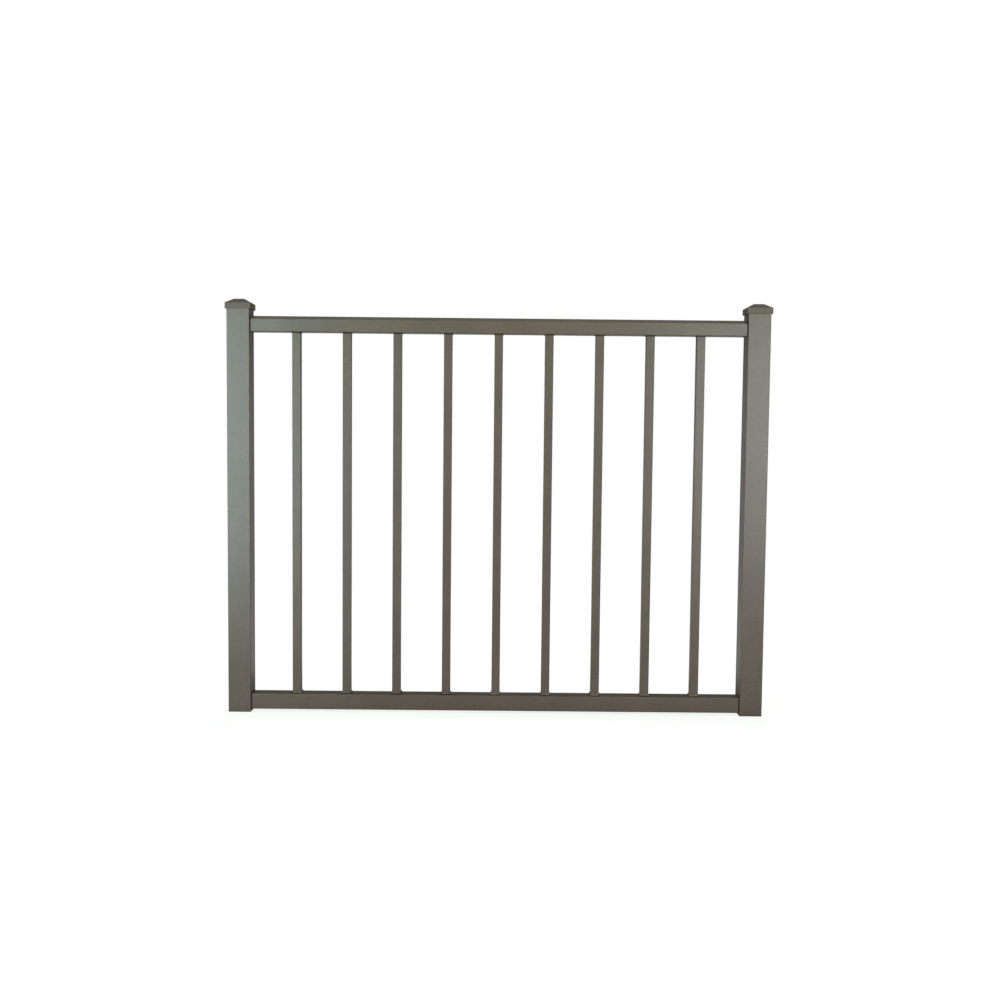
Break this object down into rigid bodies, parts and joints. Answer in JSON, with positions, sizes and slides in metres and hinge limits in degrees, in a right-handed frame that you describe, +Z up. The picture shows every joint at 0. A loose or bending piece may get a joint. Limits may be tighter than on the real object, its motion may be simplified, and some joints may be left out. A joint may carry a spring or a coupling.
{
  "type": "gate leaf",
  "caption": "Low open gate leaf of square metal tube: capped uprights joined by a top and a bottom rail, with upright pickets welded between the rails.",
  "frame": {"origin": "on the hinge upright's outer face, at its foot, on the gate's middle plane", "axes": "+X along the gate from the hinge upright to the other, -Y towards the viewer of the picture, +Z up"},
  "size_m": [1.2256, 0.0572, 0.937],
  "materials": {
    "frame_paint": "satin grey-bronze powder coat",
    "cap_paint": "satin grey-bronze powder coat on a casting"
  },
  "bodies": {
    "root": {"left_post": "frame_paint", "right_post": "frame_paint", "left_post_cap": "cap_paint", "right_post_cap": "cap_paint", "top_rail": "frame_paint", "bottom_rail": "frame_paint", "picket_1": "frame_paint", "picket_2": "frame_paint", "picket_3": "frame_paint", "picket_4": "frame_paint", "picket_5": "frame_paint", "picket_6": "frame_paint", "picket_7": "frame_paint", "picket_8": "frame_paint", "picket_9": "frame_paint"}
  },
  "joints": []
}
